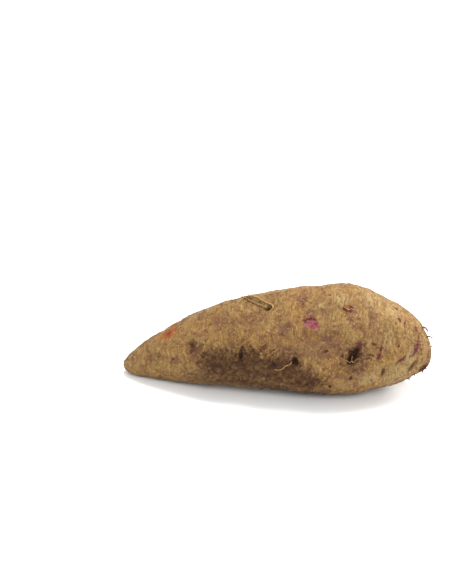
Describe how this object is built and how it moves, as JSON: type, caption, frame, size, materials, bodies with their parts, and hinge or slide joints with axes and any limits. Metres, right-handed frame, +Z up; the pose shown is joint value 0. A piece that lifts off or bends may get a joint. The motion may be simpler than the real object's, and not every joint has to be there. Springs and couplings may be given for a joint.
{
  "type": "sweet potato",
  "caption": "Whole raw sweet potato lying on its side: a root that tapers to a thin tail, with a blunt crown end, corky tan skin, eyes and root scars.",
  "frame": {"origin": "on the floor, under the middle of the root's bounding box", "axes": "+X from the tail to the crown end, +Y to the back, +Z up"},
  "size_m": [0.175, 0.0592, 0.0616],
  "materials": {
    "skin": "matte, corky, with a faint waxy sheen"
  },
  "bodies": {
    "root": {"sweet_potato": "skin"}
  },
  "joints": []
}
